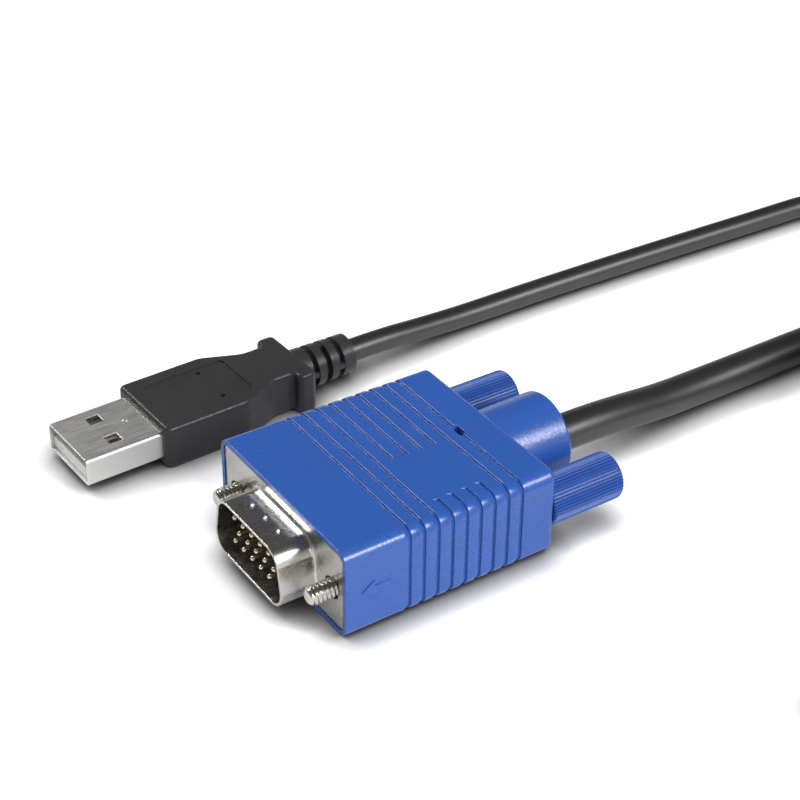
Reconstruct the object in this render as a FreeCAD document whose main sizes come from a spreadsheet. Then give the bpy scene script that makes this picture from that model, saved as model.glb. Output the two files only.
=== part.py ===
import FreeCAD
import Part
import Sketcher
import math
import os
import re

# A console lead set: a 15-pin video plug with captive thumbscrews and a USB plug, each on its own
# cord, and the plug that both cords share at the far end. Millimetres, +Z up, mating faces to -Y.
doc = FreeCAD.newDocument("console_lead")
sheet = doc.addObject("Spreadsheet::Sheet", "dim")

SIZES = {
    # Place of the two plugs on the table: flange face of the video plug, tip of the USB plug
    "video_x": 14.6,
    "video_y": -16.155,
    "usb_x": -22.62,
    "usb_y": -30.485,
    "usb_turn": 2.0,
    # Hood of the video plug
    "hood_taper": 0.3,
    "hood_height": 13.8,
    "hood_length": 34.2,
    "hood_edge": 1.8,
    "hood_back_edge": 0.8,
    "rim_wall": 0.8,
    "rim_depth": 0.2,
    "rim_corner": 0.9,
    "rib_first": 10.15,
    "rib_pitch": 2.29,
    "rib_count": 9,
    "rib_full_front": 3,
    "rib_full_back": 2,
    "rib_depth": 0.36,
    "rib_ramp": 1.0,
    "label_left": 1.5,
    "label_width": 10.6,
    "gate_width": 2.0,
    "gate_length": 1.0,
    "gate_depth": 1.3,
    "boss_diameter": 13.2,
    "boss_length": 10.4,
    "boss_edge": 0.5,
    "arrow_height": 0.15,
    "arrow_setback": 2.4,
    "arrow_length": 4.4,
    "arrow_head": 1.8,
    "arrow_head_width": 2.7,
    "arrow_shaft_width": 0.9,
    # Steel shells and the D-shaped skirt
    "flange_sheet": 0.5,
    "connector_drop": 0.55,
    "skirt_width": 16.92,
    "skirt_height": 8.36,
    "skirt_corner": 2.4,
    "skirt_slant": 10,
    "skirt_wall": 0.4,
    "skirt_lead": 5.5,
    "skirt_root": 0.45,
    "skirt_back": 4.0,
    "dimple_pitch": 3.4,
    "dimple_setback": 3.1,
    "dimple_ball": 1.2,
    "dimple_depth": 0.25,
    # Insulator, contacts and inner moulding
    "insulator_lead": 0.4,
    "insulator_back": 6.6,
    "seat_gap": 0.04,
    "pin_diameter": 0.76,
    "pin_pitch": 2.29,
    "pin_row": 1.98,
    "pin_setback": 0.8,
    "pin_tip": 0.25,
    "core_width": 20.0,
    "core_height": 10.4,
    "core_corner": 1.5,
    "core_length": 25.0,
    # Captive screws and their knobs
    "screw_spacing": 24.99,
    "screw_margin": 3.755,
    "screw_thread": 2.84,
    "screw_hole": 3.3,
    "screw_lead": 3.85,
    "screw_tip": 0.9,
    "screw_thread_length": 3.5,
    "screw_shank": 2.3,
    "screw_tunnel": 3.4,
    "screw_bearing": 4.0,
    "screw_running_gap": 0.05,
    "screw_float": 0.4,
    "knob_diameter": 7.1,
    "knob_length": 12.1,
    "knob_gap": 0.35,
    "knob_edge": 0.9,
    "knob_bore_depth": 9.0,
    "knob_flutes": 48,
    "flute_depth": 0.2,
    # USB plug
    "usb_shell_width": 12.0,
    "usb_shell_height": 4.5,
    "usb_shell_wall": 0.3,
    "usb_shell_corner": 0.6,
    "usb_exposed": 12.4,
    "usb_shell_hidden": 6.0,
    "usb_window": 2.1,
    "usb_window_spacing": 5.8,
    "usb_window_setback": 4.9,
    "usb_dimple": 0.9,
    "usb_dimple_setback": 9.4,
    "usb_dimple_depth": 0.15,
    "tongue_thickness": 1.95,
    "tongue_setback": 0.5,
    "tongue_block": 9.6,
    "contact_width": 1.0,
    "contact_length": 7.4,
    "contact_thickness": 0.25,
    "contact_inner": 1.0,
    "contact_outer": 3.5,
    "contact_setback": 1.6,
    "grip_width": 14.8,
    "grip_height": 7.0,
    "grip_straight": 14.0,
    "grip_taper": 6.2,
    "waist_width": 9.3,
    "waist_length": 3.6,
    "wing_width": 13.0,
    "wing_length": 3.2,
    "grip_corner": 1.0,
    "grip_edge": 0.7,
    "grip_sweep": 4.0,
    "panel_width": 9.6,
    "panel_length": 13.8,
    "panel_setback": 2.8,
    "panel_corner": 0.9,
    "panel_depth": 0.25,
    "pinhole_spacing": 7.4,
    "pinhole_setback": 11.8,
    "pinhole_diameter": 0.75,
    "pinhole_depth": 0.8,
    "usb_core_width": 11.0,
    "usb_core_height": 4.8,
    "usb_core_length": 12.0,
    "boot_diameter": 6.96,
    "boot_end_diameter": 6.4,
    "boot_length": 9.5,
    "boot_core": 4.6,
    "boot_slot_first": 1.6,
    "boot_slot_width": 1.0,
    "boot_slot_pitch": 2.4,
    "boot_web": 0.8,
    # Cords and their coils
    "video_cord": 5.6,
    "usb_cord": 3.8,
    "video_cord_lead": 5.9,
    "video_cord_drop": 1.1,
    "usb_cord_lead": 6.1,
    "tail_lead": 5.5,
    "video_coil_radius": 30.0,
    "video_coil_across": 19.6,
    "video_coil_high": 11.2,
    "video_coil_x": 49.65,
    "video_coil_y": 104.0,
    "video_stub": 25.0,
    "usb_coil_radius": 21.0,
    "usb_coil_across": 17.1,
    "usb_coil_high": 7.6,
    "usb_coil_x": 49.65,
    "usb_coil_y": 104.0,
    "usb_stub": 20.0,
    "tie_width": 8.0,
    "tie_sheet": 0.8,
    # Far plug
    "far_x": 83.2,
    "far_y": 55.0,
    "far_width": 24.0,
    "far_height": 11.6,
    "far_length": 20.0,
    "far_edge": 1.8,
    "far_boss_length": 4.0,
    "far_boss_wall": 1.6,
    "far_cord_spacing": 13.0,
    "far_socket_depth": 7.0,
}

for row, (alias, value) in enumerate(SIZES.items(), start=1):
    sheet.set(f"A{row}", alias)
    sheet.set(f"B{row}", str(value))
    sheet.setAlias(f"B{row}", alias)
doc.recompute()


def bound(text):
    """An expression with each size named as a cell of the sheet."""
    return re.sub(r"[a-z_]+", lambda word: "dim." + word[0] if word[0] in SIZES else word[0], text)


def number(text):
    return float(sheet.evalExpression(text))


def drive(thing, prop, text):
    thing.setExpression(prop, bound(text))


def place(thing, x="0", y="0", z="0", turn="0"):
    """Stand a sub-part in the assembly, turned about the vertical."""
    spin = FreeCAD.Rotation(FreeCAD.Vector(0, 0, 1), number(turn))
    thing.Placement = FreeCAD.Placement(FreeCAD.Vector(number(x), number(y), number(z)), spin)
    for axis, text in (("x", x), ("y", y), ("z", z)):
        if text != "0":
            drive(thing, f"Placement.Base.{axis}", text)
    if turn != "0":
        drive(thing, "Placement.Rotation.Angle", turn)


# Sketches. On the XZ plane a drawing's y is +Z and its normal is -Y.
def body_sketch(body, name, plane, offset="0"):
    drawing = body.newObject("Sketcher::SketchObject", name)
    support = next(item for item in body.Origin.OriginFeatures if item.Role == plane)
    drawing.AttachmentSupport = [(support, "")]
    drawing.MapMode = "FlatFace"
    if offset != "0":
        drive(drawing, "AttachmentOffset.Base.z", offset)
    return drawing


def upright_sketch(name, y):
    drawing = doc.addObject("Sketcher::SketchObject", name)
    upright = FreeCAD.Rotation(FreeCAD.Vector(1, 0, 0), 90)
    drawing.Placement = FreeCAD.Placement(FreeCAD.Vector(0, number(y), 0), upright)
    drive(drawing, "Placement.Base.y", y)
    return drawing


def pin_point(drawing, geometry, vertex, across, along):
    """Hold a point of a drawing at two driven distances from the drawing's origin."""
    for kind, axis, text in (("DistanceX", -2, across), ("DistanceY", -1, along)):
        if text == "0":
            drawing.addConstraint(Sketcher.Constraint("PointOnObject", geometry, vertex, axis))
            continue
        rule = Sketcher.Constraint(kind, -1, 1, geometry, vertex, number(text))
        index = drawing.addConstraint(rule)
        drive(drawing, f"Constraints[{index}]", text)


def draw_circle(drawing, across, along, radius):
    centre = FreeCAD.Vector(number(across), number(along), 0)
    circle = drawing.addGeometry(Part.Circle(centre, FreeCAD.Vector(0, 0, 1), number(radius)))
    pin_point(drawing, circle, 3, across, along)
    index = drawing.addConstraint(Sketcher.Constraint("Radius", circle, number(radius)))
    drive(drawing, f"Constraints[{index}]", radius)


def draw_polygon(drawing, corners):
    points = [FreeCAD.Vector(number(x), number(y), 0) for x, y in corners]
    lines = []
    for start, end in zip(points, points[1:] + points[:1]):
        lines.append(drawing.addGeometry(Part.LineSegment(start, end)))
    for line, following in zip(lines, lines[1:] + lines[:1]):
        drawing.addConstraint(Sketcher.Constraint("Coincident", line, 2, following, 1))
    for line, (x, y) in zip(lines, corners):
        pin_point(drawing, line, 1, x, y)


def draw_rounded(drawing, centres, radius):
    """A closed outline of equal arcs about the given centres, anticlockwise, with tangent lines."""
    points = [FreeCAD.Vector(number(x), number(y), 0) for x, y in centres]
    reach = number(radius)
    up = FreeCAD.Vector(0, 0, 1)
    outward = []
    for start, end in zip(points, points[1:] + points[:1]):
        outward.append((end - start).normalize().cross(up))
    lines = []
    arcs = []
    for index, centre in enumerate(points):
        following = points[(index + 1) % len(points)]
        shift = outward[index] * reach
        lines.append(drawing.addGeometry(Part.LineSegment(centre + shift, following + shift)))
        before = outward[index - 1]
        first = math.atan2(before.y, before.x)
        last = math.atan2(outward[index].y, outward[index].x)
        while last < first:
            last += 2 * math.pi
        arcs.append(drawing.addGeometry(Part.ArcOfCircle(Part.Circle(centre, up, reach), first, last)))
    for index, arc in enumerate(arcs):
        drawing.addConstraint(Sketcher.Constraint("Tangent", lines[index - 1], 2, arc, 1))
        drawing.addConstraint(Sketcher.Constraint("Tangent", arc, 2, lines[index], 1))
        pin_point(drawing, arc, 3, *centres[index])
        rule = drawing.addConstraint(Sketcher.Constraint("Radius", arc, reach))
        drive(drawing, f"Constraints[{rule}]", radius)


def draw_rounded_rectangle(drawing, width, height, radius, low="0", shrink="0"):
    """A rounded rectangle about x = 0 that stands on height low, its edges moved in by shrink."""
    side = f"({width})/2 - ({radius})"
    bottom = f"({low}) + ({radius})"
    top = f"({low}) + ({height}) - ({radius})"
    centres = [(f"-({side})", bottom), (side, bottom), (side, top), (f"-({side})", top)]
    draw_rounded(drawing, centres, f"({radius}) - ({shrink})")


# Features
def new_body(name):
    return doc.addObject("PartDesign::Body", name)


def pad(body, name, profile, length, to_plus_y=False, midplane=False):
    feature = body.newObject("PartDesign::Pad", name)
    feature.Profile = profile
    drive(feature, "Length", length)
    feature.Reversed = to_plus_y
    feature.Midplane = midplane
    profile.Visibility = False
    doc.recompute()
    return feature


def pocket(body, name, profile, depth, reverse=False, midplane=False):
    feature = body.newObject("PartDesign::Pocket", name)
    feature.Profile = profile
    drive(feature, "Length", depth)
    feature.Reversed = reverse
    feature.Midplane = midplane
    doc.recompute()
    return feature


def revolve(body, name, profile, subtract=False):
    feature = body.newObject("PartDesign::Groove" if subtract else "PartDesign::Revolution", name)
    feature.Profile = profile
    feature.ReferenceAxis = (profile, ["H_Axis"])
    feature.Angle = 360
    doc.recompute()
    return feature


def fillet(body, name, radius, chosen):
    tip = body.Tip
    edges = [f"Edge{index}" for index, edge in enumerate(tip.Shape.Edges, start=1) if chosen(edge)]
    feature = body.newObject("PartDesign::Fillet", name)
    feature.Base = (tip, edges)
    drive(feature, "Radius", radius)
    doc.recompute()
    return feature


def lies_at(edge, axis, text, slack=0.01):
    level = number(text)
    return all(abs(getattr(vertex.Point, axis) - level) < slack for vertex in edge.Vertexes)


def block(name, x, y, z, length, width, height):
    solid = doc.addObject("Part::Box", name)
    for prop, text in (("Length", length), ("Width", width), ("Height", height)):
        drive(solid, prop, text)
    place(solid, x, y, z)
    return solid


def combine(kind, name, base, tool):
    result = doc.addObject(kind, name)
    if kind == "Part::Cut":
        result.Base = base
        result.Tool = tool
    else:
        result.Shapes = [base] + tool
    return result


PARTS = {}


def sub_part(label, thing):
    thing.Label = label
    PARTS[label] = thing


# Levels that the pieces of the video plug share, in the plug's own frame: y = 0 at the flange face
AXIS_Z = "hood_height/2 - connector_drop"
HOOD_BACK = "hood_length - rim_depth"
HOOD_WIDTH = "(screw_spacing + 2*screw_margin)"
HOOD_BACK_WIDTH = f"({HOOD_WIDTH} - 2*hood_taper)"
FLANGE_WIDTH = f"{HOOD_WIDTH} - 2*rim_wall"
FLANGE_HEIGHT = "hood_height - 2*rim_wall"


def hood_width_at(y):
    return f"{HOOD_WIDTH} - 2*hood_taper*({y} + rim_depth)/hood_length"


def skirt_centres(axis):
    """Arc centres of the D outline, wide side down, about a height."""
    rise = "(skirt_height/2 - skirt_corner)"
    wide = "(skirt_width/2 - skirt_corner)"
    narrow = f"({wide} - 2*{rise}*tan(skirt_slant))"
    low = f"{axis} - {rise}"
    high = f"{axis} + {rise}"
    return [(f"-{wide}", low), (wide, low), (narrow, high), (f"-{narrow}", high)]


# Hood of the video plug: a tapering rounded block with the cable boss on its back
hood = new_body("hood_form")
hood_plan = body_sketch(hood, "hood_plan", "XY_Plane")
draw_polygon(hood_plan, [(f"-{HOOD_WIDTH}/2", "-rim_depth"), (f"{HOOD_WIDTH}/2", "-rim_depth"),
                         (f"{HOOD_BACK_WIDTH}/2", HOOD_BACK), (f"-{HOOD_BACK_WIDTH}/2", HOOD_BACK)])
pad(hood, "hood_block", hood_plan, "hood_height")
fillet(hood, "hood_edges", "hood_edge", lambda edge: edge.BoundBox.YLength > 0.9 * number("hood_length"))
fillet(hood, "hood_back_round", "hood_back_edge", lambda edge: lies_at(edge, "y", HOOD_BACK))

boss = body_sketch(hood, "boss_outline", "XZ_Plane", f"-({HOOD_BACK} - 2*hood_back_edge)")
draw_circle(boss, "0", "hood_height/2", "boss_diameter/2")
pad(hood, "boss", boss, "boss_length + 2*hood_back_edge", to_plus_y=True)
BOSS_END = f"{HOOD_BACK} + boss_length"
fillet(hood, "boss_round", "boss_edge", lambda edge: lies_at(edge, "y", BOSS_END))

# Recess for the two flanges, the cavity round the inner moulding and the two screw tunnels
recess = body_sketch(hood, "flange_recess", "XZ_Plane", "rim_depth")
draw_rounded_rectangle(recess, FLANGE_WIDTH, FLANGE_HEIGHT, "rim_corner", low="rim_wall")
pocket(hood, "flange_pocket", recess, "rim_depth + 2*flange_sheet")
cavity = body_sketch(hood, "core_cavity", "XZ_Plane", "-2*flange_sheet")
CORE_LOW = f"{AXIS_Z} - core_height/2"
draw_rounded_rectangle(cavity, "core_width", "core_height", "core_corner", low=CORE_LOW)
pocket(hood, "core_pocket", cavity, "core_length")
tunnels = body_sketch(hood, "tunnels", "XZ_Plane", "-2*flange_sheet")
bearings = body_sketch(hood, "bearings", "XZ_Plane", "-2*flange_sheet")
for side in ("-screw_spacing/2", "screw_spacing/2"):
    draw_circle(tunnels, side, AXIS_Z, "screw_tunnel/2")
    draw_circle(bearings, side, AXIS_Z, "screw_shank/2 + screw_running_gap")
pocket(hood, "tunnel_bores", tunnels, f"{HOOD_BACK} - 2*flange_sheet - screw_bearing")
pocket(hood, "bearing_bores", bearings, "hood_length")

# A raised arrow on the hood's right side, pointing at the mating face
ARROW_Z = "hood_height/2"
NECK = "arrow_setback + arrow_head"
arrow = body_sketch(hood, "arrow_outline", "YZ_Plane", f"({hood_width_at(NECK)})/2 - rim_wall")
TAIL = "arrow_setback + arrow_length"
draw_polygon(arrow, [
    ("arrow_setback", ARROW_Z), (NECK, f"{ARROW_Z} + arrow_head_width/2"),
    (NECK, f"{ARROW_Z} + arrow_shaft_width/2"), (TAIL, f"{ARROW_Z} + arrow_shaft_width/2"),
    (TAIL, f"{ARROW_Z} - arrow_shaft_width/2"), (NECK, f"{ARROW_Z} - arrow_shaft_width/2"),
    (NECK, f"{ARROW_Z} - arrow_head_width/2")])
pad(hood, "arrow", arrow, "rim_wall + arrow_height")

# Saw-tooth ribs: each cut ramps down towards the back and ends in a step. The middle ones stop
# beside a flat label field on the top.
label_field = block("label_field", "label_left", "0", "hood_height/2", "label_width", "hood_length",
                    "hood_height")
cuts = []
for index in range(SIZES["rib_count"]):
    step_y = f"(rib_first + {index}*rib_pitch)"
    ramp_y = f"({step_y} - rib_ramp)"
    sections = []
    for name, y, shrink in (("ramp", ramp_y, "-0.1*rib_depth"), ("step", step_y, "rib_depth")):
        section = upright_sketch(f"rib_{name}_{index}", y)
        draw_rounded_rectangle(section, hood_width_at(y), "hood_height", "hood_edge", shrink=shrink)
        sections.append(section)
    kept = doc.addObject("Part::Loft", f"rib_core_{index}")
    kept.Sections = sections
    kept.Solid = True
    kept.Ruled = True
    slab = block(f"rib_slab_{index}", f"-{HOOD_WIDTH}", ramp_y, "-hood_height/2", f"2*{HOOD_WIDTH}",
                 "rib_ramp", "2*hood_height")
    cut = combine("Part::Cut", f"rib_cut_{index}", slab, kept)
    last_full = SIZES["rib_count"] - SIZES["rib_full_back"]
    if SIZES["rib_full_front"] <= index < last_full:
        cut = combine("Part::Cut", f"rib_side_cut_{index}", cut, label_field)
    cuts.append(cut)
LAST_RIB = "(rib_first + (rib_count - 1)*rib_pitch)"
cuts.append(block("gate_mark", "-gate_width/4", f"{LAST_RIB} - gate_length/2", "hood_height - gate_depth",
                  "gate_width", "gate_length", "2*gate_depth"))
rib_cuts = combine("Part::MultiFuse", "rib_cuts", cuts[0], cuts[1:])
vga_hood = combine("Part::Cut", "vga_hood", hood, rib_cuts)
place(vga_hood, "video_x", "video_y")
sub_part("vga_hood", vga_hood)

# Front shell: the flange with its two screw holes and the D-shaped skirt drawn out of it
shell = new_body("front_shell_form")
flange = body_sketch(shell, "front_flange", "XZ_Plane")
FLANGE_CLEAR = f"({FLANGE_WIDTH}) - 2*seat_gap"
FLANGE_TALL = f"({FLANGE_HEIGHT}) - 2*seat_gap"
draw_rounded_rectangle(flange, FLANGE_CLEAR, FLANGE_TALL, "rim_corner", low="rim_wall + seat_gap")
pad(shell, "front_flange_plate", flange, "flange_sheet", to_plus_y=True)
skirt = body_sketch(shell, "skirt_outside", "XZ_Plane", "-flange_sheet")
draw_rounded(skirt, skirt_centres(AXIS_Z), "skirt_corner + skirt_wall")
pad(shell, "skirt", skirt, "skirt_lead + flange_sheet")
fillet(shell, "skirt_root_round", "skirt_root",
       lambda edge: lies_at(edge, "y", "0")
       and abs(edge.CenterOfMass.x) < number("skirt_width/2 + skirt_wall + seat_gap")
       and abs(edge.CenterOfMass.z - number(AXIS_Z)) < number("skirt_height/2 + skirt_wall + seat_gap"))
mouth = body_sketch(shell, "skirt_inside", "XZ_Plane", "-flange_sheet")
draw_rounded(mouth, skirt_centres(AXIS_Z), "skirt_corner")
pocket(shell, "skirt_mouth", mouth, "2*(skirt_lead + flange_sheet)", reverse=True)
holes = body_sketch(shell, "front_holes", "XZ_Plane")
for side in ("-screw_spacing/2", "screw_spacing/2"):
    draw_circle(holes, side, AXIS_Z, "screw_hole/2")
pocket(shell, "front_screw_holes", holes, "2*flange_sheet")

# Three round dents in the skirt's upper wall
dents = []
for index in (-1, 0, 1):
    dent = doc.addObject("Part::Sphere", f"dent_{index + 1}")
    drive(dent, "Radius", "dimple_ball")
    SKIRT_TOP = f"{AXIS_Z} + skirt_height/2 + skirt_wall"
    place(dent, f"{index}*dimple_pitch", "-dimple_setback", f"{SKIRT_TOP} + dimple_ball - dimple_depth")
    dents.append(dent)
dent_cuts = combine("Part::MultiFuse", "dent_cuts", dents[0], dents[1:])
front_shell = combine("Part::Cut", "front_shell", shell, dent_cuts)
place(front_shell, "video_x", "video_y")
sub_part("vga_front_shell", front_shell)

# Rear shell: a second flange against the first, with a skirt drawn to the back
rear = new_body("rear_shell")
rear_flange = body_sketch(rear, "rear_flange", "XZ_Plane", "-flange_sheet")
draw_rounded_rectangle(rear_flange, FLANGE_CLEAR, FLANGE_TALL, "rim_corner", low="rim_wall + seat_gap")
pad(rear, "rear_flange_plate", rear_flange, "flange_sheet", to_plus_y=True)
rear_skirt = body_sketch(rear, "rear_skirt_outside", "XZ_Plane", "-flange_sheet")
draw_rounded(rear_skirt, skirt_centres(AXIS_Z), "skirt_corner + skirt_wall")
pad(rear, "rear_skirt", rear_skirt, "flange_sheet + skirt_back", to_plus_y=True)
rear_mouth = body_sketch(rear, "rear_skirt_inside", "XZ_Plane")
draw_rounded(rear_mouth, skirt_centres(AXIS_Z), "skirt_corner")
pocket(rear, "rear_skirt_mouth", rear_mouth, "2*(skirt_back + 2*flange_sheet)")
rear_holes = body_sketch(rear, "rear_holes", "XZ_Plane")
for side in ("-screw_spacing/2", "screw_spacing/2"):
    draw_circle(rear_holes, side, AXIS_Z, "screw_hole/2")
pocket(rear, "rear_screw_holes", rear_holes, "4*flange_sheet")
place(rear, "video_x", "video_y")
sub_part("vga_rear_shell", rear)


def pin_places(axis):
    """Centres of three rows of five contacts, the middle row half a pitch to the right."""
    places = []
    for row, nudge in ((1, "-"), (0, "+"), (-1, "-")):
        for column in range(-2, 3):
            places.append((f"{column}*pin_pitch {nudge} pin_pitch/4", f"{axis} + {row}*pin_row"))
    return places


def insulator(name, axis, lead, back):
    """D-shaped block inside the shells, bored for the contacts."""
    body = new_body(name)
    outline = body_sketch(body, name + "_outline", "XZ_Plane", lead)
    draw_rounded(outline, skirt_centres(axis), "skirt_corner - seat_gap")
    pad(body, name + "_block", outline, f"{lead} + {back}", to_plus_y=True)
    bores = body_sketch(body, name + "_bores", "XZ_Plane", lead)
    for across, along in pin_places(axis):
        draw_circle(bores, across, along, "pin_diameter/2 + seat_gap")
    pocket(body, name + "_pin_bores", bores, f"{lead} + {back} - pin_setback")
    return body


def contacts(name, axis, back):
    """Fifteen round pins with rounded tips, standing in the skirt behind its rim."""
    body = new_body(name)
    outline = body_sketch(body, name + "_outline", "XZ_Plane", "skirt_lead - pin_setback")
    for across, along in pin_places(axis):
        draw_circle(outline, across, along, "pin_diameter/2")
    pins = pad(body, name + "_pins", outline, f"skirt_lead - 2*pin_setback + {back}", to_plus_y=True)
    tips = body.newObject("PartDesign::Chamfer", name + "_tips")
    tip_edges = [f"Edge{index}" for index, edge in enumerate(pins.Shape.Edges, start=1)
                 if lies_at(edge, "y", "-(skirt_lead - pin_setback)")]
    tips.Base = (pins, tip_edges)
    drive(tips, "Size", "pin_tip")
    return body


vga_insulator = insulator("vga_insulator", AXIS_Z, "insulator_lead", "insulator_back")
place(vga_insulator, "video_x", "video_y")
sub_part("vga_insulator", vga_insulator)
vga_contacts = contacts("vga_contacts", AXIS_Z, "insulator_back")
place(vga_contacts, "video_x", "video_y")
sub_part("vga_contacts", vga_contacts)

# Inner moulding that fills the hood behind the connector
core = new_body("inner_mould")
core_outline = body_sketch(core, "core_outline", "XZ_Plane", "-2*flange_sheet")
draw_rounded_rectangle(core_outline, "core_width - 2*seat_gap", "core_height - 2*seat_gap", "core_corner",
                       low=f"{CORE_LOW} + seat_gap")
pad(core, "core_block", core_outline, "core_length", to_plus_y=True)
core_socket = body_sketch(core, "core_socket", "XZ_Plane", "-2*flange_sheet")
draw_rounded(core_socket, skirt_centres(AXIS_Z), "skirt_corner + skirt_wall + seat_gap")
pocket(core, "core_socket_cut", core_socket, "insulator_back - 2*flange_sheet")
place(core, "video_x", "video_y")
sub_part("vga_inner_mould", core)

# Captive screws and knobs, each drawn about its own axis and set at the flange face
KNOB_START = f"{HOOD_BACK} + knob_gap"
SCREWS = (("left", "-screw_spacing/2", "screw_float"), ("right", "screw_spacing/2", "0"))
for hand, side, float_back in SCREWS:
    screw = new_body(f"{hand}_screw")
    profile = body_sketch(screw, f"{hand}_screw_profile", "YZ_Plane")
    thread_end = "screw_thread_length - screw_lead"
    draw_polygon(profile, [
        ("-screw_lead", "0"), (f"{KNOB_START} + knob_bore_depth", "0"),
        (f"{KNOB_START} + knob_bore_depth", "screw_shank/2"),
        (f"{thread_end} + (screw_thread - screw_shank)/2", "screw_shank/2"),
        (thread_end, "screw_thread/2"), ("-screw_lead + screw_tip", "screw_thread/2"),
        ("-screw_lead", "screw_thread/2 - 0.75*screw_tip")])
    revolve(screw, f"{hand}_screw_turning", profile)
    place(screw, f"video_x + {side}", f"video_y + {float_back}", AXIS_Z)
    sub_part(f"{hand}_jackscrew", screw)

    knob = new_body(f"{hand}_knob")
    rim = body_sketch(knob, f"{hand}_knob_outline", "XZ_Plane", f"-({KNOB_START})")
    draw_circle(rim, "0", "0", "knob_diameter/2")
    pad(knob, f"{hand}_knob_grip", rim, "knob_length", to_plus_y=True)
    KNOB_END = f"{KNOB_START} + knob_length"
    fillet(knob, f"{hand}_knob_round", "knob_edge", lambda edge: lies_at(edge, "y", KNOB_END))
    bore = body_sketch(knob, f"{hand}_knob_bore", "XZ_Plane", f"-({KNOB_START})")
    draw_circle(bore, "0", "0", "screw_shank/2")
    pocket(knob, f"{hand}_knob_bore_cut", bore, "knob_bore_depth")
    flute = body_sketch(knob, f"{hand}_flute", "XZ_Plane", f"-({KNOB_START})")
    half_flute = "(knob_diameter/2*tan(110/knob_flutes))"
    flute_top = "knob_diameter/2 + 0.1*flute_depth"
    draw_polygon(flute, [("0", "knob_diameter/2 - flute_depth"), (half_flute, flute_top),
                         (f"-{half_flute}", flute_top)])
    flute_cut = pocket(knob, f"{hand}_flute_cut", flute, "knob_length - knob_edge/2")
    flutes = knob.newObject("PartDesign::PolarPattern", f"{hand}_flutes")
    flutes.Originals = [flute_cut]
    flutes.Axis = (next(item for item in knob.Origin.OriginFeatures if item.Role == "Y_Axis"), [""])
    flutes.Angle = 360
    drive(flutes, "Occurrences", "knob_flutes")
    knob.Tip = flutes
    doc.recompute()
    place(knob, f"video_x + {side}", f"video_y + {float_back}", AXIS_Z)
    sub_part(f"{hand}_thumb_knob", knob)

# USB plug, drawn with y = 0 at the shell's tip and z = 0 on the table
USB_LOW = "(grip_height - usb_shell_height)/2"
USB_FLOOR = f"({USB_LOW} + usb_shell_wall)"
USB_DEEP = "usb_exposed + usb_shell_hidden"


def stand_usb(thing):
    place(thing, "usb_x", "usb_y", "0", "usb_turn")


usb_shell = new_body("usb_shell")
outside = body_sketch(usb_shell, "usb_shell_outside", "XZ_Plane")
draw_rounded_rectangle(outside, "usb_shell_width", "usb_shell_height", "usb_shell_corner", low=USB_LOW)
pad(usb_shell, "usb_shell_tube", outside, USB_DEEP, to_plus_y=True)
inside = body_sketch(usb_shell, "usb_shell_inside", "XZ_Plane")
draw_rounded_rectangle(inside, "usb_shell_width", "usb_shell_height", "usb_shell_corner", low=USB_LOW,
                       shrink="usb_shell_wall")
pocket(usb_shell, "usb_shell_mouth", inside, f"2*({USB_DEEP})")
windows = body_sketch(usb_shell, "usb_windows", "XY_Plane")
for side in ("-", ""):
    near = f"{side}(usb_window_spacing - usb_window)/2"
    far = f"{side}(usb_window_spacing + usb_window)/2"
    draw_polygon(windows, [(near, "usb_window_setback"), (far, "usb_window_setback"),
                           (far, "usb_window_setback + usb_window"),
                           (near, "usb_window_setback + usb_window")])
pocket(usb_shell, "usb_window_cuts", windows, "2*grip_height", midplane=True)
dot = body_sketch(usb_shell, "usb_dimple_outline", "XY_Plane", f"{USB_LOW} + usb_shell_height")
draw_circle(dot, "0", "usb_dimple_setback", "usb_dimple/2")
pocket(usb_shell, "usb_dimple_cut", dot, "usb_dimple_depth")
stand_usb(usb_shell)
sub_part("usb_shell", usb_shell)

# White insulator: a tongue in the lower half of the mouth and a full block behind it
tongue = new_body("usb_tongue")
side_view = body_sketch(tongue, "tongue_side", "YZ_Plane")
TONGUE_LOW = f"{USB_FLOOR} + seat_gap"
TONGUE_TOP = f"{USB_FLOOR} + tongue_thickness"
BLOCK_TOP = f"{USB_LOW} + usb_shell_height - usb_shell_wall - seat_gap"
draw_polygon(side_view, [("tongue_setback", TONGUE_LOW), (USB_DEEP, TONGUE_LOW), (USB_DEEP, BLOCK_TOP),
                         ("tongue_block", BLOCK_TOP), ("tongue_block", TONGUE_TOP),
                         ("tongue_setback", TONGUE_TOP)])
pad(tongue, "tongue_block_form", side_view, "usb_shell_width - 2*usb_shell_wall - 2*seat_gap", midplane=True)
SHELL_INNER = "usb_shell_corner - usb_shell_wall"
fillet(tongue, "tongue_edges", SHELL_INNER,
       lambda edge: abs(edge.CenterOfMass.x) > number("usb_shell_width/4")
       and edge.BoundBox.YLength > number("tongue_block/2")
       and not lies_at(edge, "z", TONGUE_TOP))
stand_usb(tongue)
sub_part("usb_tongue", tongue)

strips = []
for index, centre in enumerate(("-contact_outer", "-contact_inner", "contact_inner", "contact_outer")):
    strips.append(block(f"usb_strip_{index}", f"{centre} - contact_width/2", "contact_setback", TONGUE_TOP,
                        "contact_width", "contact_length", "contact_thickness"))
usb_contacts = doc.addObject("Part::Compound", "usb_contacts")
usb_contacts.Links = strips
stand_usb(usb_contacts)
sub_part("usb_contacts", usb_contacts)

# Inner moulding behind the shell
usb_core = new_body("usb_core")
USB_AXIS = "grip_height/2"
core_face = body_sketch(usb_core, "usb_core_outline", "XZ_Plane", f"-({USB_DEEP})")
draw_rounded_rectangle(core_face, "usb_core_width - 2*seat_gap", "usb_core_height - 2*seat_gap",
                       "usb_shell_corner", low=f"{USB_AXIS} - usb_core_height/2 + seat_gap")
pad(usb_core, "usb_core_block", core_face, "usb_core_length", to_plus_y=True)
stand_usb(usb_core)
sub_part("usb_inner_mould", usb_core)

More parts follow.
